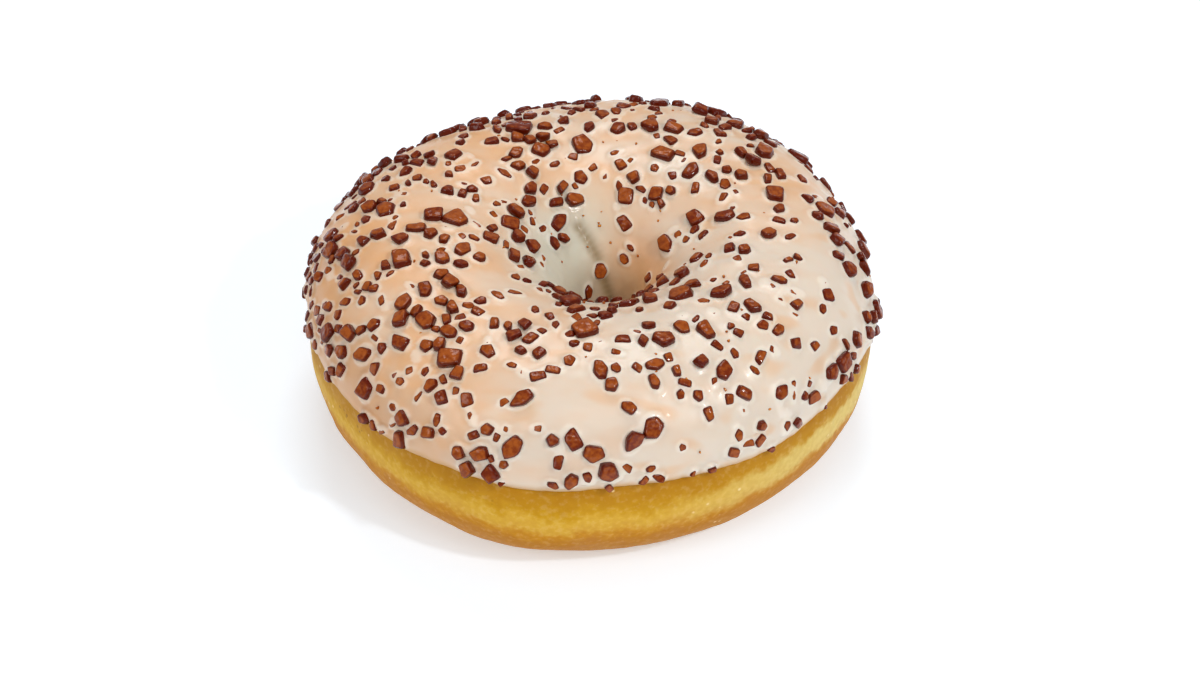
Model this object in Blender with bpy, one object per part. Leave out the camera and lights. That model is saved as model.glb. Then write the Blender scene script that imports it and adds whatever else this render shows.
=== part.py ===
"""A raised ring doughnut, dipped in white icing and strewn with broken chocolate.

Two solids: the dough ring, and the icing with its larger chocolate pieces fused on.
Metres, +Z up. The doughnut rests on z = 0, and the centre of its box is over the origin.
Turn is the angle round the ring from +X. Roll is the angle round the ring's section,
from the outer side at 0 over the crest at 90 degrees to the hole's wall at 180.
"""

import math
from statistics import NormalDist

import bmesh
import bpy
import numpy as np
from mathutils import Matrix, Vector

# Dough ring
RING_CENTRE = (0.0001, -0.0003)
OUTER_RADIUS = 0.0449
HOLE_RADIUS = 0.0058
CREST_RADIUS = 0.0264
WIDEST_HEIGHT = 0.0144
CREST_RISE = 0.0192
BASE_CUT = 1.08
HOLE_SHIFT = (0.0022, -0.0012)
CREST_LEAN = (-0.0006, -0.0001)
OUTER_FULLNESS = 2.30
HOLE_FULLNESS = 2.06
# Unevenness round the ring, as (number of waves, size, phase in degrees)
OUTLINE_WAVES = ((2, 0.00124, -69), (3, 0.00061, -164), (4, 0.00083, 89), (7, 0.00015, 40))
CREST_WAVES = ((2, 0.00030, 20), (3, 0.00025, 200), (5, 0.00015, 75))

# Icing, whose two edges are given as rolls in degrees
ICING_GAP = 0.0003
ICING_THICKNESS = 0.0010
LEAST_LIP = 0.35
LIP_ROLL = 3.0
SKIRT_ROLL = 12.8
SKIRT_WAVES = ((1, 0.9, 100), (3, 0.8, 15), (5, 0.7, 130), (8, 0.6, 250), (13, 0.4, 60))
THROAT_ROLL = 198.0
THROAT_WAVES = ((1, 4.0, 120), (3, 4.0, 30), (5, 2.5, 200))

# Chocolate pieces, from the longest to the shortest
SEED = 830
PIECES = 750
FUSED_PIECES = 250
LONGEST_PIECE = 0.0044
USUAL_LENGTH = 0.0023
LENGTH_SPREAD = 0.30
SIDES = (4, 4, 4, 5, 5, 6)
SIDES_KNOCKED = 0.24
WIDTH_SHARE = (0.54, 0.96)
DEPTH_SHARE = (0.40, 0.70)
DEEPEST_PIECE = 0.0014
TOP_SHARE = (0.72, 1.0)
TOP_SLANT = 0.18
CLUMPED_SHARE = 0.5
CLUMP_REACH = 1.4
CLEAR_APART = 0.56
CLUMP_APART = 0.40
LIE_FLAT = (7.0, 20.0)
SINK = 0.00045
OVERHANG = 0.15
ROLLS_DRAWN = (0.1, 3.5)
WIDEST_PATCH = OUTER_RADIUS * 0.024
DENSITY_SCALE = 0.6
LEAST_ON_SKIRT = 0.72
LEAST_IN_HOLE = 0.25
THICKEST_SIDE = 150
THINNING = 0.30
TRIES = 120
# Where the pieces lie thicker or thinner: turn and roll in degrees, reach and gain
PATCHES = (
    (132, 126, 0.0045, 1.6),
    (254, 121, 0.0045, 1.0),
    (206, 126, 0.0035, 0.6),
    (190, 53, 0.0090, 0.4),
    (222, 78, 0.0060, 0.6),
    (76, 73, 0.0060, 0.8),
    (108, 84, 0.0070, 0.4),
    (318, 95, 0.0080, 0.6),
    (288, 61, 0.0050, 0.8),
    (210, 93, 0.0040, -0.7),
    (262, 70, 0.0050, -0.7),
    (284, 44, 0.0050, -0.7),
    (45, 66, 0.0060, 0.6),
    (45, 102, 0.0050, -0.5),
    (340, 45, 0.0070, -0.5),
    (5, 86, 0.0050, -0.5),
    (86, 113, 0.0050, -0.5),
    (96, 146, 0.0070, -0.95),
    (150, 152, 0.0060, -0.95),
    (60, 164, 0.0050, -0.8),
    (176, 168, 0.0045, -0.9),
    (350, 150, 0.0050, -0.6),
)

# Mesh
TURN_STEPS = 48
SIDE_STEPS = 4
COVERED_STEPS = 10
THROAT_STEPS = 3
ICING_STEPS = 12

# Colours as linear red, green and blue, with a roughness
DOUGH_LOOK = ((0.60, 0.31, 0.075), 0.55)
ICING_LOOK = ((0.84, 0.70, 0.56), 0.35)
CHOCOLATE_LOOK = ((0.130, 0.032, 0.010), 0.40)


def clear_scene():
    for obj in list(bpy.data.objects):
        bpy.data.objects.remove(obj)


def material(name, look):
    """A plain Principled material."""
    colour, roughness = look
    made = bpy.data.materials.new(name)
    made.use_nodes = True
    shader = made.node_tree.nodes["Principled BSDF"]
    shader.inputs["Base Color"].default_value = (*colour, 1.0)
    shader.inputs["Roughness"].default_value = roughness
    shader.inputs["Metallic"].default_value = 0.0
    made.diffuse_color = (*colour, 1.0)
    return made


def waves(turn, terms):
    """Sum of cosine waves round the ring."""
    return sum(size * math.cos(count * turn + math.radians(phase)) for count, size, phase in terms)


def rounded(value, fullness):
    """A cosine or sine, bent from a circle's to a fuller superellipse's."""
    return math.copysign(abs(value) ** (2 / fullness), value)


def dough_point(turn, roll):
    """A point on the dough's surface."""
    across, up = math.cos(roll), math.sin(roll)
    shift = HOLE_SHIFT[0] * math.cos(turn) + HOLE_SHIFT[1] * math.sin(turn)
    crest = CREST_RADIUS + shift / 2
    if across > 0:
        reach = OUTER_RADIUS + waves(turn, OUTLINE_WAVES) - crest
        fullness = OUTER_FULLNESS
    else:
        reach = crest - HOLE_RADIUS - shift
        fullness = HOLE_FULLNESS
    if up > 0:
        lean = CREST_LEAN[0] * math.cos(turn) + CREST_LEAN[1] * math.sin(turn)
        height = CREST_RISE + lean + waves(turn, CREST_WAVES)
    else:
        height = WIDEST_HEIGHT * BASE_CUT
    radius = crest + reach * rounded(across, fullness)
    z = max(WIDEST_HEIGHT + height * rounded(up, fullness), 0.0)
    x, y = RING_CENTRE
    return Vector((x + radius * math.cos(turn), y + radius * math.sin(turn), z))


def tangents(turn, roll):
    """How the surface runs for a radian of turn, and for a radian of roll."""
    step = 1e-3
    by_turn = dough_point(turn + step, roll) - dough_point(turn - step, roll)
    by_roll = dough_point(turn, roll + step) - dough_point(turn, roll - step)
    return by_turn / (2 * step), by_roll / (2 * step)


def raised_point(turn, roll, rise):
    """A point that stands over the dough's surface by rise."""
    by_turn, by_roll = tangents(turn, roll)
    return dough_point(turn, roll) + rise * by_turn.cross(by_roll).normalized()


def icing_edges(turn):
    """The rolls where the icing starts on the outer side and ends in the hole."""
    skirt = SKIRT_ROLL + waves(turn, SKIRT_WAVES)
    throat = THROAT_ROLL + waves(turn, THROAT_WAVES)
    return math.radians(skirt), math.radians(throat)


def base_roll(fullness):
    """How far below the widest height the flat base begins, as a roll."""
    return math.asin(BASE_CUT ** (-fullness / 2))


def steps(start, end, count):
    """Evenly spaced values from start up to, but not including, end."""
    return [start + (end - start) * i / count for i in range(count)]


def closed_ring(name, rows, looks):
    """A mesh object from rows of points, where each row is one closed section of a ring."""
    bm = bmesh.new()
    grid = [[bm.verts.new(point) for point in row] for row in rows]
    for row, after in zip(grid, grid[1:] + grid[:1]):
        for i in range(len(row)):
            j = (i + 1) % len(row)
            bm.faces.new((row[i], after[i], after[j], row[j]))
    bmesh.ops.recalc_face_normals(bm, faces=bm.faces)
    mesh = bpy.data.meshes.new(name)
    bm.to_mesh(mesh)
    bm.free()
    mesh.shade_smooth()
    obj = bpy.data.objects.new(name, mesh)
    for look in looks:
        mesh.materials.append(look)
    bpy.context.scene.collection.objects.link(obj)
    return obj


def dough_section(turn):
    """The dough's section: side, covered crest, throat, then straight across the base."""
    skirt, throat = icing_edges(turn)
    outer_base = -base_roll(OUTER_FULLNESS)
    hole_base = math.pi + base_roll(HOLE_FULLNESS)
    rolls = steps(outer_base, skirt, SIDE_STEPS)
    rolls += steps(skirt, throat, COVERED_STEPS)
    rolls += steps(throat, hole_base, THROAT_STEPS)
    return [dough_point(turn, roll) for roll in rolls + [hole_base]]


def icing_section(turn):
    """The icing's section: its round lips and outer face, then back along the dough."""
    skirt, throat = icing_edges(turn)
    lip = math.radians(LIP_ROLL)
    rolls = [skirt, skirt + lip]
    rolls += steps(skirt + 2 * lip, throat - 2 * lip, ICING_STEPS - 4)
    rolls += [throat - 2 * lip, throat - lip, throat]
    section = []
    for roll in rolls:
        inward = min(roll - skirt, throat - roll) / (2 * lip)
        round_lip = math.sqrt(1 - (1 - min(inward, 1)) ** 2)
        thickness = ICING_THICKNESS * (LEAST_LIP + (1 - LEAST_LIP) * round_lip)
        section.append(raised_point(turn, roll, ICING_GAP + thickness))
    under = steps(throat, skirt, COVERED_STEPS) + [skirt]
    return section + [raised_point(turn, roll, ICING_GAP) for roll in under]


def chunk_corners(draw, length):
    """Corners of a broken piece: an uneven slab of four to six sides, smaller at the top."""
    width = length * draw.uniform(*WIDTH_SHARE)
    depth = min(width * draw.uniform(*DEPTH_SHARE), DEEPEST_PIECE)
    sides = int(draw.choice(SIDES))
    knocks = draw.uniform(-SIDES_KNOCKED, SIDES_KNOCKED, sides)
    angles = (np.arange(sides) + 0.5 + knocks) * math.tau / sides
    outline = np.column_stack((np.cos(angles), np.sin(angles)))
    outline -= (outline.max(axis=0) + outline.min(axis=0)) / 2
    outline *= np.array((length, width)) / np.ptp(outline, axis=0)
    top = outline * draw.uniform(*TOP_SHARE)
    slant = top @ draw.uniform(-TOP_SLANT, TOP_SLANT, 2)
    corners = [Vector((x, y, -depth / 2)) for x, y in outline]
    return corners + [Vector((x, y, depth / 2 + rise)) for (x, y), rise in zip(top, slant)]


def scatter_density(turn, roll):
    """How thickly the chocolate lies: less on the skirt and down the hole, more at the left."""
    height = min(max(math.sin(roll) / 0.7, 0), 1)
    least = LEAST_IN_HOLE if roll > math.pi / 2 else LEAST_ON_SKIRT
    facing = math.cos(turn - math.radians(THICKEST_SIDE))
    density = (least + (1 - least) * height) * (1 - THINNING * (1 - facing) / 2)
    here = dough_point(turn, roll)
    for patch_turn, patch_roll, reach, gain in PATCHES:
        middle = dough_point(math.radians(patch_turn), math.radians(patch_roll))
        density *= 1 + gain * math.exp(-((here - middle).length / reach) ** 2)
    return density


def piece_length(index):
    """The lengths follow a bell curve of ratios, and fall from the first piece to the last."""
    share = 1 - (index + 0.5) / PIECES
    length = USUAL_LENGTH * math.exp(LENGTH_SPREAD * NormalDist().inv_cdf(share))
    return min(length, LONGEST_PIECE)


def scatter():
    """The chocolate pieces, longest first, as (corners, turn, roll, spin, tilt, tilt way)."""
    draw = np.random.default_rng(SEED)
    placed, singles, points, lengths = [], [], np.empty((0, 3)), np.empty(0)
    for index in range(PIECES):
        length = piece_length(index)
        corners = chunk_corners(draw, length)
        spin, way = draw.uniform(0, math.tau, 2)
        for _ in range(TRIES):
            clumped = draw.random() < CLUMPED_SHARE * index / PIECES
            if clumped:
                other = int(draw.choice(singles))
                _, turn, roll, *_ = placed[other]
                by_turn, by_roll = tangents(turn, roll)
                apart = CLUMP_APART * (length + lengths[other]) * draw.uniform(1, CLUMP_REACH)
                heading = draw.uniform(0, math.tau)
                turn += apart * math.cos(heading) / by_turn.length
                roll += apart * math.sin(heading) / by_roll.length
            else:
                turn, roll = draw.uniform(0, math.tau), draw.uniform(*ROLLS_DRAWN)
            skirt, throat = icing_edges(turn)
            by_turn, by_roll = tangents(turn, roll)
            clear = (0.5 - OVERHANG) * length / by_roll.length
            if not skirt + clear < roll < throat - clear:
                continue
            area = by_turn.cross(by_roll).length / WIDEST_PATCH
            if draw.random() > DENSITY_SCALE * scatter_density(turn, roll) * (1 if clumped else area):
                continue
            point = np.array(raised_point(turn, roll, ICING_GAP + ICING_THICKNESS))
            least = (CLUMP_APART if clumped else CLEAR_APART) * (lengths + length)
            if (np.linalg.norm(points - point, axis=1) < least).any():
                continue
            tilt = math.radians(draw.uniform(0, LIE_FLAT[1 if clumped else 0]))
            if not clumped:
                singles.append(len(placed))
            placed.append((corners, turn, roll, spin, tilt, way))
            points = np.vstack((points, point))
            lengths = np.append(lengths, length)
            break
    return placed


def lie_on_icing(corners, turn, roll, spin, tilt, way):
    """The corners of a piece where it lies, its lowest one sunk into the icing."""
    by_turn, by_roll = tangents(turn, roll)
    up = by_turn.cross(by_roll).normalized()
    across = by_turn.normalized()
    frame = Matrix((across, up.cross(across), up)).transposed()
    lean = Vector((math.cos(way), math.sin(way), 0))
    turned = Matrix.Rotation(tilt, 3, lean) @ Matrix.Rotation(spin, 3, "Z")
    turned = [turned @ corner for corner in corners]
    lift = -SINK - min(corner.z for corner in turned)
    centre = raised_point(turn, roll, ICING_GAP + ICING_THICKNESS)
    return [centre + frame @ (corner + Vector((0, 0, lift))) for corner in turned]


def chunk_object(name, corners, look, collection):
    """A convex piece over its corners."""
    bm = bmesh.new()
    for corner in corners:
        bm.verts.new(corner)
    made = bmesh.ops.convex_hull(bm, input=bm.verts)
    loose = [v for v in made["geom_interior"] if isinstance(v, bmesh.types.BMVert)]
    bmesh.ops.delete(bm, geom=loose, context="VERTS")
    bmesh.ops.recalc_face_normals(bm, faces=bm.faces)
    mesh = bpy.data.meshes.new(name)
    bm.to_mesh(mesh)
    bm.free()
    mesh.materials.append(look)
    collection.objects.link(bpy.data.objects.new(name, mesh))


def fuse(obj, collection):
    """Joins everything in the collection to obj in one union, then removes the collection."""
    union = obj.modifiers.new("Fused", "BOOLEAN")
    union.operation = "UNION"
    union.operand_type = "COLLECTION"
    union.collection = collection
    union.solver = "EXACT"
    union.material_mode = "TRANSFER"
    graph = bpy.context.evaluated_depsgraph_get()
    fused = bpy.data.meshes.new_from_object(obj.evaluated_get(graph))
    obj.modifiers.remove(union)
    obj.data = fused
    for piece in list(collection.objects):
        bpy.data.objects.remove(piece)
    bpy.data.collections.remove(collection)


def keep_outer_shell(obj):
    """Drops loose scraps and the shells of hollows that the union sealed."""
    bm = bmesh.new()
    bm.from_mesh(obj.data)
    left, shells = set(bm.faces), []
    while left:
        shell, edge = set(), [left.pop()]
        while edge:
            face = edge.pop()
            shell.add(face)
            near = {other for e in face.edges for other in e.link_faces} & left
            left -= near
            edge += near
        shells.append(shell)
    shells.sort(key=len)
    for shell in shells[:-1]:
        bmesh.ops.delete(bm, geom=list(shell), context="FACES")
    bm.to_mesh(obj.data)
    bm.free()


def main():
    clear_scene()
    dough_look = material("dough", DOUGH_LOOK)
    icing_look = material("icing", ICING_LOOK)
    chocolate_look = material("chocolate", CHOCOLATE_LOOK)
    turns = steps(0, math.tau, TURN_STEPS)
    closed_ring("dough", [dough_section(turn) for turn in turns], [dough_look])
    icing = closed_ring("icing", [icing_section(turn) for turn in turns], [icing_look])
    chocolate = bpy.data.collections.new("chocolate")
    bpy.context.scene.collection.children.link(chocolate)
    for index, piece in enumerate(scatter()[:FUSED_PIECES]):
        chunk_object(f"chunk_{index:03d}", lie_on_icing(*piece), chocolate_look, chocolate)
    fuse(icing, chocolate)
    keep_outer_shell(icing)
    icing.data.set_sharp_from_angle(angle=math.radians(35))


main()
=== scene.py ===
"""The finished look of an iced ring doughnut: crust, icing, chocolate pieces, light and camera.

Lengths are in metres, and +Z is up. Turn is the angle round the ring from +X. Roll is the angle
round the ring's section, from the outer side at 0 over the crest at 90 degrees to the hole's wall
at 180.
"""
import math
from statistics import NormalDist

import bpy
import numpy as np
from mathutils import Matrix, Vector, kdtree, noise


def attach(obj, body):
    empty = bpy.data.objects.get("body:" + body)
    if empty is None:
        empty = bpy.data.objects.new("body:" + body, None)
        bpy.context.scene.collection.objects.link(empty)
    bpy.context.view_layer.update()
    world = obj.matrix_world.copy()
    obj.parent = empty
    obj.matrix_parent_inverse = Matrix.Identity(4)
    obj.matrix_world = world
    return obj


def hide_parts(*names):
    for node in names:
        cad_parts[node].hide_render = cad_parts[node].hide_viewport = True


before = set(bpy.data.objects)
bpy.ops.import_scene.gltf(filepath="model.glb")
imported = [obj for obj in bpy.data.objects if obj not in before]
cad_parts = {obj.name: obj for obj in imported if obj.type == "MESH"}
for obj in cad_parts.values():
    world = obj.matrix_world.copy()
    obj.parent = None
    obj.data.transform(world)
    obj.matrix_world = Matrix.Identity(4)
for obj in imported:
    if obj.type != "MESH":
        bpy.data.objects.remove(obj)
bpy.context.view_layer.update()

# Dough ring, as the CAD has it. Waves are (number round the ring, size, phase in degrees)
RING_CENTRE = (0.0001, -0.0003)
OUTER_RADIUS = 0.0449
HOLE_RADIUS = 0.0058
CREST_RADIUS = 0.0264
WIDEST_HEIGHT = 0.0144
CREST_RISE = 0.0192
BASE_CUT = 1.08
HOLE_SHIFT = (0.0022, -0.0012)
CREST_LEAN = (-0.0006, -0.0001)
OUTER_FULLNESS = 2.30
HOLE_FULLNESS = 2.06
OUTLINE_WAVES = ((2, 0.00124, -69), (3, 0.00061, -164), (4, 0.00083, 89), (7, 0.00015, 40))
CREST_WAVES = ((2, 0.00030, 20), (3, 0.00025, 200), (5, 0.00015, 75))

# Icing, whose two edges are given as rolls in degrees
ICING_GAP = 0.0003
ICING_THICKNESS = 0.0010
ICING_TOP = ICING_GAP + ICING_THICKNESS
SKIRT_ROLL = 12.8
SKIRT_WAVES = ((1, 0.9, 100), (3, 0.8, 15), (5, 0.7, 130), (8, 0.6, 250), (13, 0.4, 60))
THROAT_ROLL = 198.0
THROAT_WAVES = ((1, 4.0, 120), (3, 4.0, 30), (5, 2.5, 200))

# Chocolate pieces, from the longest to the shortest
SEED = 830
PIECES = 750
LONGEST_PIECE = 0.0044
USUAL_LENGTH = 0.0023
LENGTH_SPREAD = 0.30
SIDES = (4, 4, 4, 5, 5, 6)
SIDES_KNOCKED = 0.24
WIDTH_SHARE = (0.54, 0.96)
DEPTH_SHARE = (0.40, 0.70)
DEEPEST_PIECE = 0.0014
TOP_SHARE = (0.72, 1.0)
TOP_SLANT = 0.18
CLUMPED_SHARE = 0.5
CLUMP_REACH = 1.4
CLEAR_APART = 0.56
CLUMP_APART = 0.40
LIE_FLAT = (7.0, 20.0)
SINK = 0.00045
OVERHANG = 0.15
ROLLS_DRAWN = (0.1, 3.5)
WIDEST_PATCH = OUTER_RADIUS * 0.024
DENSITY_SCALE = 0.6
THICKEST_FROM_SINE = 0.7
LEAST_ON_SKIRT = 0.72
LEAST_IN_HOLE = 0.25
THICKEST_SIDE = 150
THINNING = 0.30
TRIES = 120
# Where the pieces lie thicker or thinner: turn and roll in degrees, reach and gain
PATCHES = (
    (132, 126, 0.0045, 1.6),
    (254, 121, 0.0045, 1.0),
    (206, 126, 0.0035, 0.6),
    (190, 53, 0.0090, 0.4),
    (222, 78, 0.0060, 0.6),
    (76, 73, 0.0060, 0.8),
    (108, 84, 0.0070, 0.4),
    (318, 95, 0.0080, 0.6),
    (288, 61, 0.0050, 0.8),
    (210, 93, 0.0040, -0.7),
    (262, 70, 0.0050, -0.7),
    (284, 44, 0.0050, -0.7),
    (45, 66, 0.0060, 0.6),
    (45, 102, 0.0050, -0.5),
    (340, 45, 0.0070, -0.5),
    (5, 86, 0.0050, -0.5),
    (86, 113, 0.0050, -0.5),
    (96, 146, 0.0070, -0.95),
    (150, 152, 0.0060, -0.95),
    (60, 164, 0.0050, -0.8),
    (176, 168, 0.0045, -0.9),
    (350, 150, 0.0050, -0.6),
)

# Fine meshes
CRUST_TURNS = 420
CRUST_SIDE_ROLLS = 84
CRUST_COVERED_ROLLS = 60
CRUST_THROAT_ROLLS = 30
CRUST_BASE_ROLLS = 10
ICING_TURNS = 400
ICING_ROLLS = 220
ICING_BACK_ROLLS = 18
EASING = 0.6

# Relief, as (size, swells in each metre)
NOISE_REACH = 0.6
CRUST_SWELL = (0.00016, 120)
CRUST_GRAIN = (0.00003, 700)
RELIEF_STARTS = 0.002
ICING_SWELL = (0.00014, 130)
ICING_RIPPLE = (0.00006, 380)
RIPPLE_STRETCH = (0.36, 1, 1)
SKIRT_NIBBLES = ((0.00022, 130), (0.00010, 520))
THIN_EDGE = 0.30
EDGE_REACH = 0.0022
BEAD_REACH = 0.0006
BEDDED = 0.00008
# How the icing creeps up each chocolate piece, from a little inside its outer edge
MENISCUS_RISE = 0.00018
MENISCUS_REACH = 0.00045
MENISCUS_SPAN = 3
MENISCUS_STARTS = 0.0016
# The fold in the icing down the hole's far wall: its two ends as turn and roll, its depth and reach
FOLD_ENDS = ((106, 138), (62, 174))
FOLD_STEPS = 14
FOLD_DEPTH = 0.00028
FOLD_REACH = 0.0011

# Wear of the chocolate pieces, as shares of their size. KNOCK_SCALE is in swells for each metre
CORNER_SHARE = 0.24
CORNER_STEPS = 3
RIM_SHARE = 0.28
TOP_RIM_STEPS = 4
FOOT_RIM_STEPS = 2
MOST_INSET = 0.5
KNOCK_SHARE = 0.06
KNOCK_SCALE = 900

# Crumbs
CRUMB_SEED = 5
CRUMBS = 100
CRUMB_SIZES = (0.00045, 0.00090)
CRUMB_ROLLS = (0.35, 2.6)
CRUMB_SIDES = 6
CRUMB_WIDEST_GAP = math.pi / 1.5
CRUMB_WIDTH = 0.7
CRUMB_DEPTH = 0.25
CRUMB_TOP = 0.7
CRUMB_BURIED = 0.25

# Materials. Colours are as they show on a screen, 0 to 255. A noise is (swells in each metre,
# detail), and a stretch where it has one. A step is (from, to), and what it gives at each where
# that isn't 0 and 1. A spread is what low and high noise give. A bump is (distance, strength)
NOISE_SPAN = (0.3, 0.7)

# Pale band round the crust's side, its colours placed by how many widths they lie above its middle
BAND_HEIGHT = 0.0131
BAND_HEIGHT_WAVES = ((1, 0.0006, 130), (3, 0.0007, 80), (5, 0.0002, 200))
BAND_WIDTH = 0.0027
BAND_WIDTH_WAVES = ((1, 0.0005, 100), (4, 0.0003, 10))
BAND_BLOTCH_SPREAD = (-0.20, 0.20)
BAND_FINE_SPREAD = (-0.17, 0.17)
BAND_RAMP_FROM = 3.0
BAND_RAMP_SPAN = 6.0
CRUST_COLOURS = (
    (-3.0, (184, 120, 10)),
    (-1.9, (184, 117, 4)),
    (-1.3, (186, 119, 2)),
    (-0.8, (198, 134, 8)),
    (-0.35, (212, 162, 52)),
    (0.15, (213, 165, 50)),
    (0.6, (200, 148, 14)),
    (1.2, (186, 130, 4)),
    (2.2, (172, 114, 2)),
)
CRUST_PALE = (220, 192, 110)
PALE_X_STEP = (0.005, 0.040)
PALE_CORE_STEP = (0.5, 1.2, 0.9, 0.0)

# Crust
CRUST_BLOTCHES = (190.0, 3.0)
CRUST_FINE = (620.0, 3.0)
CRUST_MOTTLE = (1100.0, 4.0)
CRUST_SPOTS = (172, 104, 16)
SPOTS_BAND_STEP = (0.2, -1.4, 0.4, 1.0)
SPOTS_MOTTLE_STEP = (0.42, 0.66, 0.0, 0.30)
CRUST_FLECKS = (244, 216, 156)
PALE_MOTTLE_STEP = (0.50, 0.30, 0.0, 0.10)
# Flecks and pits: cells in each metre, the step out from each cell's middle, and where there are any
FLECK_CELLS = (420.0, (0.05, 0.16, 0.8, 0.0), (300.0, 1.0), (0.52, 0.60))
PIT_CELLS = (900.0, (0.14, 0.34, 0.7, 0.0), (240.0, 1.0), (0.54, 0.62))
# Painted shade in the small pits
PIT_SHADE = (128, 76, 12)
PITS_X_STEP = (-0.006, -0.018)
PITS_BAND_MIDDLE = 0.9
PITS_BAND_STEP = (0.15, 0.4, 1.0, 0.0)
MOTTLE_RELIEF = 0.6
CRUST_BUMP = (0.00012, 0.5)
CRUST_ROUGHNESS_SPREAD = (0.52, 0.66)
CRUST_SHADER = {
    "Subsurface Weight": 0.15,
    "Subsurface Radius": (1.0, 0.5, 0.2),
    "Subsurface Scale": 0.0014,
    "Specular IOR Level": 0.15,
}

# Icing, whiter one way across the doughnut
ICING_WHITE = (221, 205, 187)
ICING_PEACH = (226, 171, 119)
WHITER_WAY = (0.85, -0.53, 0.0)
WHITER_STEP = (-0.070, 0.048)
BROAD_NOISE = (60.0, 2.0, (0.5, 1.0, 1.0))
BROAD_SPREAD = (0.008, -0.008)
CLOSE_NOISE = (210.0, 2.0, (0.45, 1.0, 1.0))
CLOSE_SPREAD = (0.016, -0.016)
# Where the icing is peachier than that, or whiter where the shift is below 0: X, Y, reach and shift
PEACH_PATCHES = (
    (0.030, 0.010, 0.018, 0.065),
    (-0.041, -0.004, 0.018, 0.050),
    (-0.020, -0.030, 0.020, 0.042),
    (0.001, 0.012, 0.012, 0.028),
    (-0.032, 0.010, 0.016, -0.022),
)
PATCH_HEIGHT = 0.028
ICING_STREAK = (222, 172, 122)
STREAK_STEP = (-0.3, -1.1, 0.0, 0.5)
ICING_TAN = (206, 152, 102)
TAN_LOW_STEP = (0.32, 0.12)
TAN_X_STEP = (-0.010, -0.038, 0.0, 0.7)
# Painted highlight on the icing round each chocolate piece, where it creeps up the piece
MENISCUS_HIGHLIGHT = (240, 230, 216)
MENISCUS_HIGHLIGHT_STEP = (0.2, 1.0, 0.0, 0.45)
ICING_EDGE = (196, 146, 78)
EDGE_STEP = (0.0, 0.0015, 0.9, 0.0)
ICING_FINE = (900.0, 3.0)
ICING_BUMP = (0.00003, 0.5)
ICING_ROUGHNESS_SPREAD = (0.32, 0.44)
WALL_ROUGHER = 0.2
ICING_SHADER = {
    "Subsurface Weight": 0.25,
    "Subsurface Radius": (1.0, 0.6, 0.4),
    "Subsurface Scale": 0.0016,
    "Specular IOR Level": 0.45,
    "Coat Weight": 0.08,
    "Coat Roughness": 0.10,
}

# Painted shade on the icing down the hole's wall: white at the left, tan at the right, and darker deep
# down, by steps of roll / pi
HOLE_X_STEP = (-0.003, 0.010)
HOLE_SHADED_WHITE = (206, 202, 184)
WHITE_WALL_STEP = (0.60, 0.80)
HOLE_SHADED_TAN = (216, 158, 104)
TAN_WALL_STEP = (0.68, 0.88)
HOLE_DEEP_SHADE = (150, 136, 106)
DEEP_WALL_STEP = (0.81, 0.92, 0.0, 0.3)
# Painted shade along the fold's crease down the hole
FOLD_SHADE = (140, 116, 76)
FOLD_SHADE_STRENGTH = 0.85

# Chocolate, its colours a painted shade for the sides, then medium and light
CHOCOLATE_COLOURS = ((84, 14, 0), (112, 36, 4), (158, 78, 24))
CRUMB_COLOURS = ((146, 68, 10), (176, 92, 20), (216, 138, 46))
TONE_STEP = (-1.0, 1.0, -0.35, 0.35)
CHOCOLATE_GRAIN = (1300.0, 3.0)
GRAIN_SPREAD = (0.1, 0.9)
SIDE_SHADE_STEP = (0.15, 0.9, 0.0, 0.9)
CHOCOLATE_LUMPS = (800.0, 1.0)
GRAIN_RELIEF = 0.25
CHOCOLATE_BUMP = (0.00030, 0.9)
CHOCOLATE_SHADER = {"Roughness": 0.11, "Specular IOR Level": 0.24}

# Table and light
WHITE = (1.0, 1.0, 1.0, 1.0)
FLOOR_WHITE = (216, 228, 239)
FLOOR_SHADE = (214, 226, 237)
FLOOR_CLOUD = (3.0, 1.0)
FLOOR_SHADER = {
    "Roughness": 0.9,
    "Specular IOR Level": 0.1,
    "Emission Color": WHITE,
    "Emission Strength": 0.40,
}
FLOOR_SIZE = 6.0
FLOOR_GAP = 0.0001
ROOM_STRENGTH = 0.37
# Name, azimuth and elevation in degrees, distance, size, and power in watts
LAMPS = (
    ("right", 45, 38, 1.0, 0.30, 1.0),
    ("glint", 50, 46, 0.9, 0.07, 2.2),
    ("left", -45, 38, 1.0, 0.45, 2.0),
    ("front", 0, 62, 1.0, 0.45, 0.9),
    ("back", 180, 62, 1.0, 0.45, 3.2),
)

# Camera. PHOTO_SCALE is in pixels for each metre at the target, and TARGET_PIXEL is where that lies
CAMERA_ELEVATION = 40.58
CAMERA_DISTANCE = 0.450
CAMERA_TARGET = (*RING_CENTRE, 0.017)
CAMERA_CLIP = (0.01, 20.0)
PHOTO_SIZE = (1200, 675)
PHOTO_SCALE = 6176.0
TARGET_PIXEL = (592.9, 312.2)
SENSOR_WIDTH = 36.0

# The sRGB curve of screens, and the colour sockets of the mix node
SRGB_KNEE = 0.04045
SRGB_OFFSET = 0.055
SRGB_POWER = 2.4
SRGB_SLOPE = 12.92
MIX_FACTOR, MIX_FIRST, MIX_SECOND = 0, 6, 7
MIX_RESULT = 2


def rounded(value, fullness):
    """A cosine or sine, bent from a circle's to a fuller superellipse's."""
    return np.copysign(np.abs(value) ** (2 / fullness), value)


def waves(turn, terms):
    """Sum of cosine waves round the ring."""
    return sum(size * np.cos(count * turn + math.radians(phase)) for count, size, phase in terms)


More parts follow.
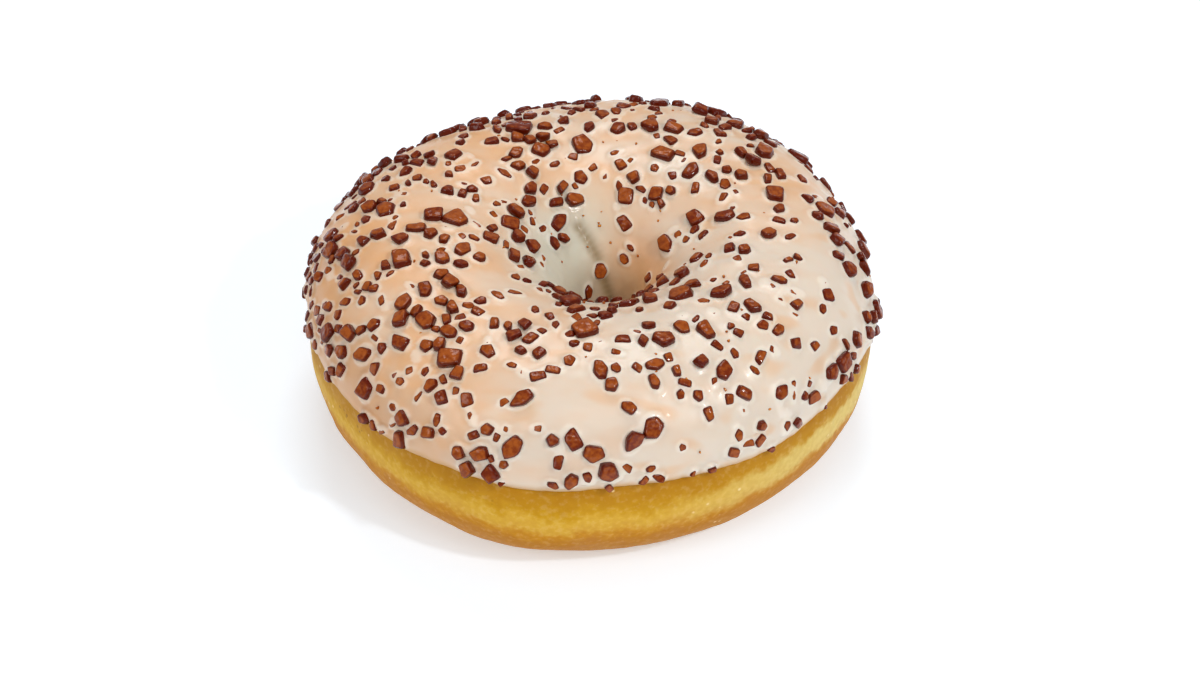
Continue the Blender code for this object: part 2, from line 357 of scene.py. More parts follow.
def dough_point(turn, roll):
    """Points on the dough's surface, one for each turn and roll."""
    across, up = np.cos(roll), np.sin(roll)
    outside = across > 0
    shift = HOLE_SHIFT[0] * np.cos(turn) + HOLE_SHIFT[1] * np.sin(turn)
    crest = CREST_RADIUS + shift / 2
    outer_reach = OUTER_RADIUS + waves(turn, OUTLINE_WAVES) - crest
    reach = np.where(outside, outer_reach, crest - HOLE_RADIUS - shift)
    fullness = np.where(outside, OUTER_FULLNESS, HOLE_FULLNESS)
    lean = CREST_LEAN[0] * np.cos(turn) + CREST_LEAN[1] * np.sin(turn)
    top = CREST_RISE + lean + waves(turn, CREST_WAVES)
    height = np.where(up > 0, top, WIDEST_HEIGHT * BASE_CUT)
    radius = crest + reach * rounded(across, fullness)
    z = np.maximum(WIDEST_HEIGHT + height * rounded(up, fullness), 0.0)
    x, y = RING_CENTRE
    return np.stack((x + radius * np.cos(turn), y + radius * np.sin(turn), z + 0 * turn), axis=-1)


def tangents(turn, roll):
    """How the surface runs for a radian of turn, and for a radian of roll."""
    step = 1e-3
    by_turn = dough_point(turn + step, roll) - dough_point(turn - step, roll)
    by_roll = dough_point(turn, roll + step) - dough_point(turn, roll - step)
    return by_turn / (2 * step), by_roll / (2 * step)


def unit(vectors):
    """The same directions, with a length of 1."""
    return vectors / np.linalg.norm(vectors, axis=-1, keepdims=True)


def surface_up(turn, roll):
    """The directions straight out of the dough's surface."""
    by_turn, by_roll = tangents(turn, roll)
    return unit(np.cross(by_turn, by_roll))


def raised_point(turn, roll, rise):
    """Points that stand over the dough's surface by rise."""
    return dough_point(turn, roll) + np.asarray(rise)[..., None] * surface_up(turn, roll)


def icing_edges(turn):
    """The rolls where the icing starts on the outer side and ends in the hole."""
    skirt = SKIRT_ROLL + waves(turn, SKIRT_WAVES)
    throat = THROAT_ROLL + waves(turn, THROAT_WAVES)
    return np.radians(skirt), np.radians(throat)


def base_roll(fullness):
    """How far below the widest height the flat base begins, as a roll."""
    return math.asin(BASE_CUT ** (-fullness / 2))


def chunk_corners(draw, length):
    """Corners of a broken piece: an uneven slab of four to six sides, smaller at the top."""
    width = length * draw.uniform(*WIDTH_SHARE)
    depth = min(width * draw.uniform(*DEPTH_SHARE), DEEPEST_PIECE)
    sides = int(draw.choice(SIDES))
    knocks = draw.uniform(-SIDES_KNOCKED, SIDES_KNOCKED, sides)
    angles = (np.arange(sides) + 0.5 + knocks) * math.tau / sides
    outline = np.column_stack((np.cos(angles), np.sin(angles)))
    outline -= (outline.max(axis=0) + outline.min(axis=0)) / 2
    outline *= np.array((length, width)) / np.ptp(outline, axis=0)
    top = outline * draw.uniform(*TOP_SHARE)
    slant = top @ draw.uniform(-TOP_SLANT, TOP_SLANT, 2)
    corners = [(x, y, -depth / 2) for x, y in outline]
    return np.array(corners + [(x, y, depth / 2 + rise) for (x, y), rise in zip(top, slant)])


def patch_middles():
    """The middle of each of the patches, on the dough."""
    return [dough_point(math.radians(turn), math.radians(roll)) for turn, roll, *_ in PATCHES]


def scatter_density(turn, roll, middles):
    """How thickly the chocolate lies: less on the skirt and down the hole, more at the left."""
    height = min(max(math.sin(roll) / THICKEST_FROM_SINE, 0), 1)
    least = LEAST_IN_HOLE if roll > math.pi / 2 else LEAST_ON_SKIRT
    facing = math.cos(turn - math.radians(THICKEST_SIDE))
    density = (least + (1 - least) * height) * (1 - THINNING * (1 - facing) / 2)
    here = dough_point(turn, roll)
    for (_, _, reach, gain), middle in zip(PATCHES, middles):
        density *= 1 + gain * math.exp(-(np.linalg.norm(here - middle) / reach) ** 2)
    return density


def piece_length(index):
    """The lengths follow a bell curve of ratios, and fall from the first piece to the last."""
    share = 1 - (index + 0.5) / PIECES
    length = USUAL_LENGTH * math.exp(LENGTH_SPREAD * NormalDist().inv_cdf(share))
    return min(length, LONGEST_PIECE)


def place_beside(draw, piece, apart):
    """A turn and roll that lie apart from a piece, in a drawn direction."""
    _, turn, roll, *_ = piece
    by_turn, by_roll = tangents(turn, roll)
    heading = draw.uniform(0, math.tau)
    turn += apart * math.cos(heading) / np.linalg.norm(by_turn)
    roll += apart * math.sin(heading) / np.linalg.norm(by_roll)
    return turn, roll


def may_lie(draw, turn, roll, length, clumped, middles):
    """Whether a piece keeps to the icing here, and the drawn number lets it lie."""
    skirt, throat = icing_edges(turn)
    by_turn, by_roll = tangents(turn, roll)
    clear = (0.5 - OVERHANG) * length / np.linalg.norm(by_roll)
    if not skirt + clear < roll < throat - clear:
        return False
    area = 1 if clumped else np.linalg.norm(np.cross(by_turn, by_roll)) / WIDEST_PATCH
    return draw.random() <= DENSITY_SCALE * scatter_density(turn, roll, middles) * area


def scatter():
    """The chocolate pieces, longest first, as (corners, turn, roll, spin, tilt, tilt way)."""
    draw, middles = np.random.default_rng(SEED), patch_middles()
    placed, singles, points, lengths = [], [], np.empty((0, 3)), np.empty(0)
    for index in range(PIECES):
        length = piece_length(index)
        corners = chunk_corners(draw, length)
        spin, way = draw.uniform(0, math.tau, 2)
        for _ in range(TRIES):
            clumped = draw.random() < CLUMPED_SHARE * index / PIECES
            if clumped:
                other = int(draw.choice(singles))
                apart = CLUMP_APART * (length + lengths[other]) * draw.uniform(1, CLUMP_REACH)
                turn, roll = place_beside(draw, placed[other], apart)
            else:
                turn, roll = draw.uniform(0, math.tau), draw.uniform(*ROLLS_DRAWN)
            if not may_lie(draw, turn, roll, length, clumped, middles):
                continue
            point = raised_point(turn, roll, ICING_TOP)
            least = (CLUMP_APART if clumped else CLEAR_APART) * (lengths + length)
            if (np.linalg.norm(points - point, axis=1) < least).any():
                continue
            tilt = math.radians(draw.uniform(0, LIE_FLAT[1 if clumped else 0]))
            if not clumped:
                singles.append(len(placed))
            placed.append((corners, turn, roll, spin, tilt, way))
            points = np.vstack((points, point))
            lengths = np.append(lengths, length)
            break
    return placed


def smooth_noise(points, scale):
    """Smooth noise at each point, from about -1 to 1, whose swells are about 1 / scale metres."""
    flat = (points * scale).reshape(-1, 3)
    values = np.fromiter((noise.noise(Vector(p)) for p in flat), float, len(flat))
    return values.reshape(points.shape[:-1]) / NOISE_REACH


def grid(turns, rolls):
    """A turn and a roll for each place of a ring: rolls holds one row of rolls for each turn."""
    return np.broadcast_to(turns[:, None], rolls.shape), rolls


def ring_turns(count):
    """Evenly spaced turns round the ring."""
    return np.arange(count) * math.tau / count


def runs(starts, ends, count):
    """For each turn, evenly spaced rolls from a start up to, but not including, an end."""
    share = np.arange(count) / count
    return starts[:, None] + (ends - starts)[:, None] * share


def eased_runs(starts, ends, count):
    """Like runs, but with the end included and closer together near both ends."""
    share = np.arange(count) / (count - 1)
    share = share - EASING * np.sin(math.tau * share) / math.tau
    return starts[:, None] + (ends - starts)[:, None] * share


def new_piece(name, mesh):
    """An object for the mesh, in the scene and riding on the part."""
    piece = bpy.data.objects.new(name, mesh)
    bpy.context.scene.collection.objects.link(piece)
    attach(piece, "root")
    return piece


def ring_mesh(name, points):
    """A smooth closed ring from points[turn, place], where each turn's places run round a section."""
    turns, places = points.shape[:2]
    index = np.arange(turns * places).reshape(turns, places)
    after = np.roll(index, -1, axis=0)
    corners = np.stack((index, after, np.roll(after, -1, axis=1), np.roll(index, -1, axis=1)), axis=-1)
    mesh = bpy.data.meshes.new(name)
    mesh.from_pydata(points.reshape(-1, 3), [], corners.reshape(-1, 4).tolist())
    mesh.shade_smooth()
    return new_piece(name, mesh)


def paint(piece, name, values):
    """Keeps one number for each point, for the material to read."""
    layer = piece.data.attributes.new(name, "FLOAT", "POINT")
    layer.data.foreach_set("value", np.asarray(values, np.float32).ravel())


def crust_relief(base):
    """How far the crust swells in or out, with none where it rests on the table."""
    relief = CRUST_SWELL[0] * smooth_noise(base, CRUST_SWELL[1])
    relief += CRUST_GRAIN[0] * smooth_noise(base, CRUST_GRAIN[1])
    return relief * np.clip(base[..., 2] / RELIEF_STARTS, 0, 1)


def make_crust():
    """The dough ring, finest on the side that shows."""
    turns = ring_turns(CRUST_TURNS)
    skirt, throat = icing_edges(turns)
    outer_base = np.full_like(turns, -base_roll(OUTER_FULLNESS))
    hole_base = np.full_like(turns, math.pi + base_roll(HOLE_FULLNESS))
    side = runs(outer_base, skirt, CRUST_SIDE_ROLLS)
    covered = runs(skirt, throat, CRUST_COVERED_ROLLS)
    hole = runs(throat, hole_base, CRUST_THROAT_ROLLS)
    turn, roll = grid(turns, np.concatenate((side, covered, hole, hole_base[:, None]), axis=1))
    points = raised_point(turn, roll, crust_relief(dough_point(turn, roll)))
    share = np.arange(1, CRUST_BASE_ROLLS) / CRUST_BASE_ROLLS
    under = points[:, -1:] + (points[:, :1] - points[:, -1:]) * share[:, None]
    points = np.concatenate((points, under), axis=1)
    crust = ring_mesh("crust", points)
    turn = np.broadcast_to(turns[:, None], points.shape[:2])
    middle = BAND_HEIGHT + waves(turn, BAND_HEIGHT_WAVES)
    width = BAND_WIDTH + waves(turn, BAND_WIDTH_WAVES)
    paint(crust, "band", (points[..., 2] - middle) / width)
    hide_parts("dough")
    return crust


def icing_rise(inward):
    """How high the icing's outer face stands over the dough: a rounded bead, thin by its edges."""
    body = ICING_TOP * (THIN_EDGE + (1 - THIN_EDGE) * (1 - np.exp(-inward / EDGE_REACH)))
    bead = np.sqrt(1 - (1 - np.minimum(inward / BEAD_REACH, 1)) ** 2)
    return body * bead


def fold_share(points):
    """How far each point lies in the fold down the hole, 0 to 1."""
    ends = np.radians(FOLD_ENDS)
    along = ends[0] + (ends[1] - ends[0]) * np.linspace(0, 1, FOLD_STEPS)[:, None]
    middle = dough_point(along[:, 0], along[:, 1])
    apart = np.linalg.norm(points[..., None, :] - middle, axis=-1).min(axis=-1)
    return np.exp(-(apart / FOLD_REACH) ** 2)


def lying_axes(turn, roll):
    """Columns: along the ring, along the section, and straight out of the icing."""
    by_turn, by_roll = tangents(turn, roll)
    up = unit(np.cross(by_turn, by_roll))
    across = unit(by_turn)
    return np.column_stack((across, np.cross(up, across), up))


def point_tree(points):
    """The points, ready to be looked up by place."""
    tree = kdtree.KDTree(len(points))
    for index, point in enumerate(points):
        tree.insert(point, index)
    tree.balance()
    return tree


def meniscus(points, rise, placed):
    """How near each point of the icing is to a chocolate piece, 0 to 1, and how far it creeps up it."""
    flat = points.reshape(-1, 3)
    missing = ICING_TOP - rise.ravel()
    tree = point_tree(flat)
    nearness, added = np.zeros(len(flat)), np.zeros(len(flat))
    for corners, turn, roll, spin, *_ in placed:
        centre = raised_point(turn, roll, ICING_TOP)
        half = np.ptp(corners[:, :2], axis=0) / 2
        found = tree.find_range(centre, half[0] + MENISCUS_SPAN * MENISCUS_REACH)
        near = [index for _, index, _ in found]
        offset = (flat[near] - centre) @ lying_axes(turn, roll)[:, :2]
        cosine, sine = math.cos(spin), math.sin(spin)
        turned = offset @ np.array(((cosine, -sine), (sine, cosine)))
        out = np.maximum(np.linalg.norm(turned / half, axis=1) - 1, 0) * half.mean()
        fading = np.exp(-(out / MENISCUS_REACH) ** 2)
        nearness[near] = np.maximum(nearness[near], fading)
        added[near] = np.maximum(added[near], (MENISCUS_RISE + missing[near]) * fading)
    return nearness.reshape(rise.shape), added.reshape(rise.shape)


def nibbled_edges(turns):
    """The icing's two edges as rolls, the outer one a little uneven."""
    skirt, throat = icing_edges(turns)
    lip = dough_point(turns, skirt)
    _, by_roll = tangents(turns, skirt)
    nibble = sum(size * smooth_noise(lip, scale) for size, scale in SKIRT_NIBBLES)
    return skirt + nibble / np.linalg.norm(by_roll, axis=-1), throat


def bedded_points(turn, roll):
    """Points of the icing that lie just inside the crust."""
    return raised_point(turn, roll, crust_relief(dough_point(turn, roll)) - BEDDED)


def make_icing(placed):
    """The icing: an outer face with soft ripples, closed along the crust."""
    turns = ring_turns(ICING_TURNS)
    skirt, throat = nibbled_edges(turns)
    turn, roll = grid(turns, eased_runs(skirt, throat, ICING_ROLLS))
    _, by_roll = tangents(turn, roll)
    metres = np.linalg.norm(by_roll, axis=-1)
    inward = (roll - skirt[:, None]) * metres
    rise = icing_rise(np.maximum(np.minimum(inward, (throat[:, None] - roll) * metres), 0))
    smooth = raised_point(turn, roll, rise)
    ripple = smooth_noise(smooth * RIPPLE_STRETCH, ICING_RIPPLE[1])
    swell = smooth_noise(smooth, ICING_SWELL[1])
    settled = np.clip(rise / ICING_THICKNESS, 0, 1)
    highlight_nearness, creep = meniscus(smooth, rise, placed)
    base = dough_point(turn, roll)
    fold = fold_share(base)
    relief = (ICING_RIPPLE[0] * ripple + ICING_SWELL[0] * swell) * settled
    relief += creep * np.clip(inward / MENISCUS_STARTS, 0, 1) - FOLD_DEPTH * fold
    outer = raised_point(turn, roll, rise + relief + crust_relief(base))
    outer[:, 0] = bedded_points(turns, skirt)
    outer[:, -1] = bedded_points(turns, throat)
    back_turn, back_roll = grid(turns, runs(throat, skirt, ICING_BACK_ROLLS)[:, 1:])
    icing = ring_mesh("icing_coat", np.concatenate((outer, bedded_points(back_turn, back_roll)), axis=1))
    hidden = np.zeros_like(back_roll)
    for name, values in (("ripple", ripple), ("inward", inward), ("highlight_nearness", highlight_nearness), ("fold", fold)):
        paint(icing, name, np.concatenate((values, hidden), axis=1))
    paint(icing, "throat", np.concatenate((roll, back_roll), axis=1) / math.pi)
    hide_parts("icing")
    return icing


def lie_on_icing(shape, corners, turn, roll, spin, tilt, way):
    """The points of a piece where it lies, the lowest of its corners sunk into the icing."""
    lean = Vector((math.cos(way), math.sin(way), 0))
    turned = np.array(Matrix.Rotation(tilt, 3, lean) @ Matrix.Rotation(spin, 3, "Z"))
    lift = -SINK - (corners @ turned.T)[:, 2].min()
    centre = raised_point(turn, roll, ICING_TOP)
    return centre + (shape @ turned.T + (0, 0, lift)) @ lying_axes(turn, roll).T


def rounded_loop(corners):
    """The outline over a ring of corners, each corner worn to a small curve."""
    before = corners + CORNER_SHARE * (np.roll(corners, 1, axis=0) - corners)
    after = corners + CORNER_SHARE * (np.roll(corners, -1, axis=0) - corners)
    bends = [
        (1 - t) ** 2 * before + 2 * t * (1 - t) * corners + t ** 2 * after
        for t in np.linspace(0, 1, CORNER_STEPS)]
    return np.stack(bends, axis=1).reshape(-1, 3)


def worn_levels(inset):
    """For each ring of a worn slab: its height, how far it is drawn in, and how far it is a side's."""
    levels = []
    for bend in np.linspace(math.pi / 2, 0, FOOT_RIM_STEPS):
        levels.append((RIM_SHARE * (1 - math.sin(bend)), inset * (1 - math.cos(bend)), 1.0))
    for bend in np.linspace(0, math.pi / 2, TOP_RIM_STEPS):
        height = 1 - RIM_SHARE * (1 - math.sin(bend))
        levels.append((height, inset * (1 - math.cos(bend)), math.cos(bend)))
    return levels


def rounded_chunk(corners):
    """A slab over its corners, its edges worn: points, faces, and how far each point is a side's."""
    sides = len(corners) // 2
    foot, top = rounded_loop(corners[:sides]), rounded_loop(corners[sides:])
    _, width, depth = np.ptp(corners, axis=0)
    levels = worn_levels(min(RIM_SHARE * depth / (width / 2), MOST_INSET))
    rings = []
    for height, drawn_in, _ in levels:
        ring = foot + (top - foot) * height
        rings.append(ring + (ring.mean(axis=0) - ring) * drawn_in)
    count = len(foot)
    index = np.arange(count * len(levels)).reshape(-1, count)
    after = np.roll(index, -1, axis=1)
    quads = np.stack((index[:-1], after[:-1], after[1:], index[1:]), axis=-1).reshape(-1, 4).tolist()
    faces = quads + [index[0, ::-1].tolist(), index[-1].tolist()]
    return np.vstack(rings), faces, np.repeat([side for *_, side in levels], count)


def knocked(points, size):
    """The points pushed about by noise, so that no face stays quite flat."""
    ways = np.array([tuple(noise.noise_vector(Vector(p))) for p in points * KNOCK_SCALE])
    return points + KNOCK_SHARE * size * ways


def joined_piece(name, shapes, tones):
    """One object from many (points, faces, sides) shapes, each with its own tone."""
    start, all_points, all_faces, all_sides, all_tones = 0, [], [], [], []
    for (points, faces, sides), tone in zip(shapes, tones):
        all_points.append(points)
        all_faces += [[start + i for i in face] for face in faces]
        all_sides.append(sides)
        all_tones += [tone] * len(points)
        start += len(points)
    mesh = bpy.data.meshes.new(name)
    mesh.from_pydata(np.vstack(all_points), [], all_faces)
    mesh.shade_smooth()
    piece = new_piece(name, mesh)
    paint(piece, "side", np.concatenate(all_sides))
    paint(piece, "tone", all_tones)
    return piece


def make_chocolate(placed):
    """Every broken chocolate piece, its edges worn. Both seeds are set, so each run gives the same."""
    draw = np.random.default_rng(SEED + 1)
    noise.seed_set(SEED)
    shapes = []
    for corners, *place in placed:
        points, faces, sides = rounded_chunk(corners)
        lying = lie_on_icing(points, corners, *place)
        shapes.append((knocked(lying, np.ptp(corners[:, 1])), faces, sides))
    return joined_piece("chocolate_bits", shapes, draw.uniform(-1, 1, len(shapes)))


def crumb_corners(angles, size):
    """Corners of a crumb: a low slab, smaller at the top."""
    outline = np.column_stack((np.cos(angles), CRUMB_WIDTH * np.sin(angles))) * size / 2
    low = np.column_stack((outline, np.full(CRUMB_SIDES, -size * CRUMB_DEPTH)))
    return np.vstack((low, low * (CRUMB_TOP, CRUMB_TOP, -1)))


def make_crumbs():
    """Crumbs and dust of the chocolate, scattered on the icing."""
    draw = np.random.default_rng(CRUMB_SEED)
    shapes = []
    while len(shapes) < CRUMBS:
        turn, roll = draw.uniform(0, math.tau), draw.uniform(*CRUMB_ROLLS)
        angles = np.sort(draw.uniform(0, math.tau, CRUMB_SIDES))
        size = draw.uniform(*CRUMB_SIZES)
        if np.diff(angles, append=angles[0] + math.tau).max() > CRUMB_WIDEST_GAP:
            continue
        corners = crumb_corners(angles, size)
        points, faces, sides = rounded_chunk(corners)
        lying = lie_on_icing(points, corners, turn, roll, draw.uniform(0, math.tau), 0.0, 0.0)
        lying += (SINK - size * CRUMB_BURIED) * surface_up(turn, roll)
        shapes.append((lying, faces, sides))
    return joined_piece("chocolate_crumbs", shapes, draw.uniform(-1, 1, len(shapes)))


def linear(*display):
    """A colour given as it shows on a screen, 0 to 255, as the linear numbers that light uses."""
    value = np.array(display) / 255
    curved = ((value + SRGB_OFFSET) / (1 + SRGB_OFFSET)) ** SRGB_POWER
    return (*np.where(value > SRGB_KNEE, curved, value / SRGB_SLOPE), 1.0)


def fill(tree, node, values):
    """Links or sets each of the node's inputs that values names."""
    for key, value in values.items():
        if isinstance(value, bpy.types.NodeSocket):
            tree.links.new(value, node.inputs[key])
        else:
            node.inputs[key].default_value = value


def add(tree, kind, values=(), **settings):
    """A node with its settings, and a value or a link for each of the inputs in values."""
    made = tree.nodes.new(kind)
    for name, value in settings.items():
        setattr(made, name, value)
    fill(tree, made, dict(values))
    return made


def new_material(name):
    """An empty material, its tree and its shader."""
    made = bpy.data.materials.new(name)
    made.use_nodes = True
    return made, made.node_tree, made.node_tree.nodes["Principled BSDF"]


def number(tree, name):
    """The number that paint kept for each point."""
    return add(tree, "ShaderNodeAttribute", attribute_name=name).outputs["Fac"]


def object_place(tree):
    """The place in the object's own space."""
    return add(tree, "ShaderNodeTexCoord").outputs["Object"]


def across_x(tree):
    """The place along X."""
    return add(tree, "ShaderNodeSeparateXYZ", {0: object_place(tree)}).outputs["X"]


def vector_node(tree, operation, first, second):
    """A node for one sum on two vectors or sockets."""
    return add(tree, "ShaderNodeVectorMath", {0: first, 1: second}, operation=operation)


def noise_value(tree, scale, detail, stretch=(1.0, 1.0, 1.0)):
    """Noise from 0 to 1 in the object's own space."""
    place = vector_node(tree, "MULTIPLY", object_place(tree), stretch).outputs[0]
    values = {"Vector": place, "Scale": scale, "Detail": detail}
    return add(tree, "ShaderNodeTexNoise", values).outputs["Fac"]


def math_node(tree, operation, first, second=0.0, clamp=False):
    """One sum on two numbers or sockets."""
    values = {0: first, 1: second}
    return add(tree, "ShaderNodeMath", values, operation=operation, use_clamp=clamp).outputs[0]


def ranged(tree, value, low, high, to_low=0.0, to_high=1.0):
    """The value carried smoothly from one range to another, and held at its ends."""
    values = {"Value": value, "From Min": low, "From Max": high, "To Min": to_low, "To Max": to_high}
    return add(tree, "ShaderNodeMapRange", values, interpolation_type="SMOOTHSTEP").outputs["Result"]


def spread(tree, value, to_low, to_high):
    """Noise carried from the span that it mostly keeps to."""
    return ranged(tree, value, *NOISE_SPAN, to_low, to_high)


def mixed(tree, factor, first, second):
    """Two colours mixed by the factor."""
    values = {MIX_FACTOR: factor, MIX_FIRST: first, MIX_SECOND: second}
    return add(tree, "ShaderNodeMix", values, data_type="RGBA").outputs[MIX_RESULT]


def covered(tree, colour, share, cover):
    """The colour under a cover, which is given as it shows on a screen and hides a share of it."""
    return mixed(tree, share, colour, linear(*cover))


def ramp(tree, factor, stops):
    """Colours along a factor, as (position, colour) stops."""
    made = add(tree, "ShaderNodeValToRGB", {"Fac": factor})
    elements = made.color_ramp.elements
    while len(elements) < len(stops):
        elements.new(0.5)
    for element, (position, colour) in zip(elements, stops):
        element.position = position
        element.color = colour
    return made.outputs["Color"]


def bump(tree, height, distance, strength):
    """A fine relief that only the light sees."""
    values = {"Height": height, "Distance": distance, "Strength": strength}
    return add(tree, "ShaderNodeBump", values).outputs["Normal"]


def cell_spots(tree, cells, size_step, places, few_step):
    """Small round spots, at most one in a cell, only where a broader noise is high."""
    values = {"Vector": object_place(tree), "Scale": cells}
    distance = add(tree, "ShaderNodeTexVoronoi", values).outputs["Distance"]
    few = ranged(tree, noise_value(tree, *places), *few_step)
    return math_node(tree, "MULTIPLY", ranged(tree, distance, *size_step), few)


def band_colour(tree, band):
    """The crust's colour by its place over the band's middle, and paler within it at the right."""
    along = math_node(tree, "ADD", band, BAND_RAMP_FROM)
    along = math_node(tree, "DIVIDE", along, BAND_RAMP_SPAN, clamp=True)
    stops = [((at + BAND_RAMP_FROM) / BAND_RAMP_SPAN, linear(*colour)) for at, colour in CRUST_COLOURS]
    right = ranged(tree, across_x(tree), *PALE_X_STEP)
    core = ranged(tree, math_node(tree, "ABSOLUTE", band), *PALE_CORE_STEP)
    return covered(tree, ramp(tree, along, stops), math_node(tree, "MULTIPLY", right, core), CRUST_PALE)


def pit_shade_share(tree, band):
    """Painted shade in small pits in the crust at the left, above the middle of the band."""
    from_pits = math_node(tree, "ABSOLUTE", math_node(tree, "SUBTRACT", band, PITS_BAND_MIDDLE))
    near = ranged(tree, from_pits, *PITS_BAND_STEP)
    share = math_node(tree, "MULTIPLY", cell_spots(tree, *PIT_CELLS), near)
    return math_node(tree, "MULTIPLY", share, ranged(tree, across_x(tree), *PITS_X_STEP))


def crust_material():
    """Fried dough: golden brown above and below a pale band, with flecks, a fine grain and painted shade
    in small pits.
    """
    made, tree, shader = new_material("dough")
    blotch = noise_value(tree, *CRUST_BLOTCHES)
    fine = noise_value(tree, *CRUST_FINE)
    mottle = noise_value(tree, *CRUST_MOTTLE)
    band = math_node(tree, "ADD", number(tree, "band"), spread(tree, blotch, *BAND_BLOTCH_SPREAD))
    band = math_node(tree, "ADD", band, spread(tree, fine, *BAND_FINE_SPREAD))
    low = ranged(tree, band, *SPOTS_BAND_STEP)
    spots = math_node(tree, "MULTIPLY", low, ranged(tree, mottle, *SPOTS_MOTTLE_STEP))
    colour = covered(tree, band_colour(tree, band), spots, CRUST_SPOTS)
    colour = covered(tree, colour, cell_spots(tree, *FLECK_CELLS), CRUST_FLECKS)
    colour = covered(tree, colour, ranged(tree, mottle, *PALE_MOTTLE_STEP), CRUST_FLECKS)
    colour = covered(tree, colour, pit_shade_share(tree, band), PIT_SHADE)
    height = math_node(tree, "ADD", fine, math_node(tree, "MULTIPLY", mottle, MOTTLE_RELIEF))
    fill(tree, shader, CRUST_SHADER | {
        "Base Color": colour,
        "Normal": bump(tree, height, *CRUST_BUMP),
        "Roughness": spread(tree, blotch, *CRUST_ROUGHNESS_SPREAD),
    })
    return made


def icing_whiteness(tree, broad):
    """How white the icing is, by its place, two noises and the patches."""
    place = object_place(tree)
    whiter = vector_node(tree, "DOT_PRODUCT", place, WHITER_WAY).outputs["Value"]
    whiter = math_node(tree, "ADD", whiter, spread(tree, broad, *BROAD_SPREAD))
    close = noise_value(tree, *CLOSE_NOISE)
    whiter = math_node(tree, "ADD", whiter, spread(tree, close, *CLOSE_SPREAD))
    for x, y, reach, shift in PEACH_PATCHES:
        apart = vector_node(tree, "DISTANCE", place, (x, y, PATCH_HEIGHT)).outputs["Value"]
        whiter = math_node(tree, "SUBTRACT", whiter, ranged(tree, apart, 0.0, reach, shift, 0.0))
    return ranged(tree, whiter, *WHITER_STEP)


def hole_colour(tree, colour, roll, wall):
    """The colour with painted shade of the hole's wall over it: white, tan, darker deep down and in the
    fold.
    """
    right = ranged(tree, across_x(tree), *HOLE_X_STEP)
    white = math_node(tree, "MULTIPLY", wall, math_node(tree, "SUBTRACT", 1.0, right))
    colour = covered(tree, colour, white, HOLE_SHADED_WHITE)
    tan = math_node(tree, "MULTIPLY", ranged(tree, roll, *TAN_WALL_STEP), right)
    colour = covered(tree, colour, tan, HOLE_SHADED_TAN)
    colour = covered(tree, colour, ranged(tree, roll, *DEEP_WALL_STEP), HOLE_DEEP_SHADE)
    fold = math_node(tree, "MULTIPLY", number(tree, "fold"), FOLD_SHADE_STRENGTH)
    return covered(tree, colour, fold, FOLD_SHADE)


def icing_material():
    """White icing, peach where it lies thin over the crust, with a soft gloss, painted shade down the
    hole and painted highlights round the chocolate pieces.
    """
    made, tree, shader = new_material("icing")
    roll = number(tree, "throat")
    broad = noise_value(tree, *BROAD_NOISE)
    colour = covered(tree, linear(*ICING_PEACH), icing_whiteness(tree, broad), ICING_WHITE)
    colour = covered(tree, colour, ranged(tree, number(tree, "ripple"), *STREAK_STEP), ICING_STREAK)
    left = ranged(tree, across_x(tree), *TAN_X_STEP)
    low_left = math_node(tree, "MULTIPLY", ranged(tree, roll, *TAN_LOW_STEP), left)
    colour = covered(tree, colour, low_left, ICING_TAN)
    wall = ranged(tree, roll, *WHITE_WALL_STEP)
    colour = hole_colour(tree, colour, roll, wall)
    # Painted highlight round each chocolate piece
    colour = covered(tree, colour, ranged(tree, number(tree, "highlight_nearness"), *MENISCUS_HIGHLIGHT_STEP), MENISCUS_HIGHLIGHT)
    colour = covered(tree, colour, ranged(tree, number(tree, "inward"), *EDGE_STEP), ICING_EDGE)
    roughness = spread(tree, broad, *ICING_ROUGHNESS_SPREAD)
    rougher = math_node(tree, "MULTIPLY", wall, WALL_ROUGHER)
    fill(tree, shader, ICING_SHADER | {
        "Base Color": colour,
        "Normal": bump(tree, noise_value(tree, *ICING_FINE), *ICING_BUMP),
        "Roughness": math_node(tree, "ADD", roughness, rougher),
    })
    return made


def chocolate_material(name, colours):
    """Milk chocolate: painted shade darkens its worn sides so that it shows paler on top, a little
    different from piece to piece.
    """
    made, tree, shader = new_material(name)
    dark, medium, light = colours
    grain = noise_value(tree, *CHOCOLATE_GRAIN)
    tone = ranged(tree, number(tree, "tone"), *TONE_STEP)
    share = math_node(tree, "ADD", tone, spread(tree, grain, *GRAIN_SPREAD), clamp=True)
    colour = covered(tree, linear(*medium), share, light)
    # Painted shade on the sides of each piece
    colour = covered(tree, colour, ranged(tree, number(tree, "side"), *SIDE_SHADE_STEP), dark)
    lumps = noise_value(tree, *CHOCOLATE_LUMPS)
    height = math_node(tree, "ADD", lumps, math_node(tree, "MULTIPLY", grain, GRAIN_RELIEF))
    fill(tree, shader, CHOCOLATE_SHADER | {
        "Base Color": colour,
        "Normal": bump(tree, height, *CHOCOLATE_BUMP),
    })
    return made


def floor_material():
    """A plain white table, which glows a little so that it shows as pure white."""
    made, tree, shader = new_material("table")
    cloud = noise_value(tree, *FLOOR_CLOUD)
    colour = covered(tree, linear(*FLOOR_WHITE), cloud, FLOOR_SHADE)
    fill(tree, shader, FLOOR_SHADER | {"Base Color": colour})
    return made


def make_floor():
    """The table, which isn't part of the doughnut."""
    mesh = bpy.data.meshes.new("table")
    half = FLOOR_SIZE / 2
    corners = [(-half, -half, 0), (half, -half, 0), (half, half, 0), (-half, half, 0)]
    mesh.from_pydata(corners, [], [(0, 1, 2, 3)])
    mesh.materials.append(floor_material())
    floor = bpy.data.objects.new("table", mesh)
    floor.location.z = -FLOOR_GAP
    bpy.context.scene.collection.objects.link(floor)


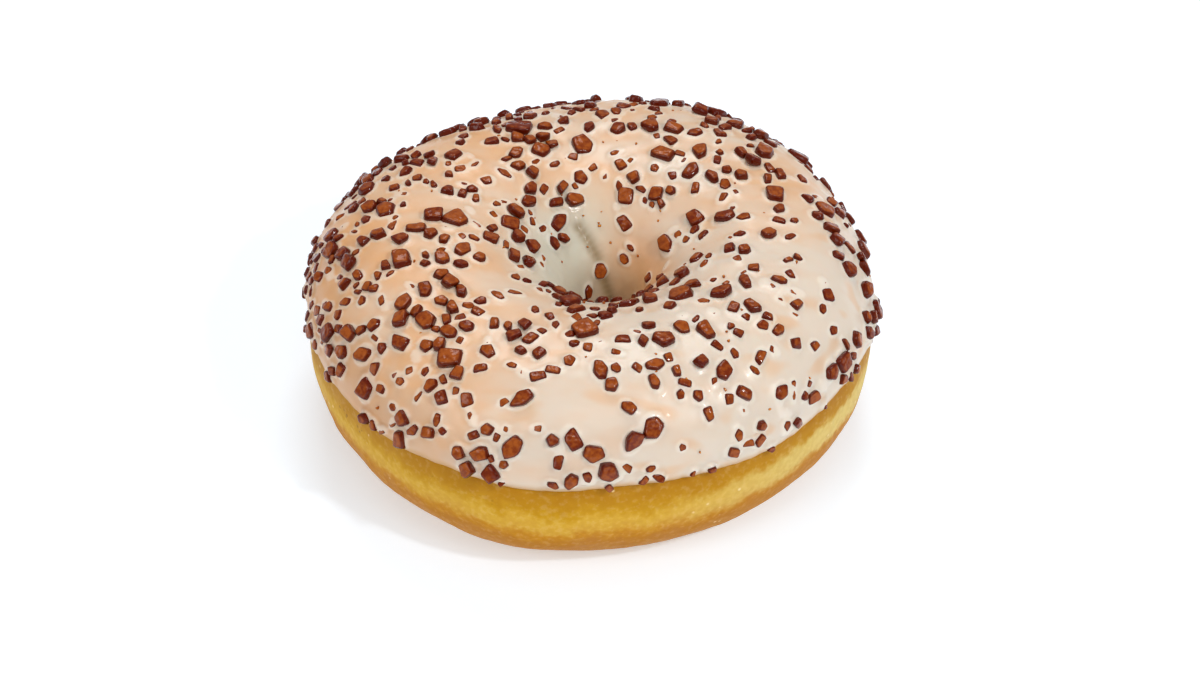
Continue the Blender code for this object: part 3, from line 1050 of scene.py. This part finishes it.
def soft_light(name, azimuth, elevation, distance, size, power):
    """An area light that looks at the doughnut. Azimuth 0 is the camera's side, 90 its right."""
    data = bpy.data.lights.new(name, "AREA")
    data.shape = "DISK"
    data.size = size
    data.energy = power
    light = bpy.data.objects.new(name, data)
    around, up = math.radians(azimuth), math.radians(elevation)
    away = Vector((math.sin(around) * math.cos(up), -math.cos(around) * math.cos(up), math.sin(up)))
    light.location = Vector(CAMERA_TARGET) + distance * away
    light.rotation_euler = (-away).to_track_quat("-Z", "Y").to_euler()
    bpy.context.scene.collection.objects.link(light)


def make_light():
    """A white room, and soft lamps."""
    world = bpy.data.worlds.new("room")
    world.use_nodes = True
    back = world.node_tree.nodes["Background"]
    back.inputs["Color"].default_value = WHITE
    back.inputs["Strength"].default_value = ROOM_STRENGTH
    bpy.context.scene.world = world
    for lamp in LAMPS:
        soft_light(*lamp)


def make_camera():
    """The photo's viewpoint: a long lens that looks down at the doughnut."""
    data = bpy.data.cameras.new("camera")
    data.sensor_width = SENSOR_WIDTH
    data.lens = PHOTO_SCALE * CAMERA_DISTANCE / PHOTO_SIZE[0] * SENSOR_WIDTH
    data.shift_x = (PHOTO_SIZE[0] / 2 - TARGET_PIXEL[0]) / PHOTO_SIZE[0]
    data.shift_y = (TARGET_PIXEL[1] - PHOTO_SIZE[1] / 2) / PHOTO_SIZE[0]
    data.clip_start, data.clip_end = CAMERA_CLIP
    camera = bpy.data.objects.new("camera", data)
    up = math.radians(CAMERA_ELEVATION)
    away = Vector((0, -math.cos(up), math.sin(up)))
    camera.location = Vector(CAMERA_TARGET) + CAMERA_DISTANCE * away
    camera.rotation_euler = (math.pi / 2 - up, 0, 0)
    bpy.context.scene.collection.objects.link(camera)
    bpy.context.scene.camera = camera


def main():
    """Every piece with its material, then the table, the light and the camera."""
    bpy.context.scene.view_settings.view_transform = "Standard"
    placed = scatter()
    make_crust().data.materials.append(crust_material())
    make_icing(placed).data.materials.append(icing_material())
    make_chocolate(placed).data.materials.append(chocolate_material("chocolate", CHOCOLATE_COLOURS))
    make_crumbs().data.materials.append(chocolate_material("crumb", CRUMB_COLOURS))
    make_floor()
    make_light()
    make_camera()


main()
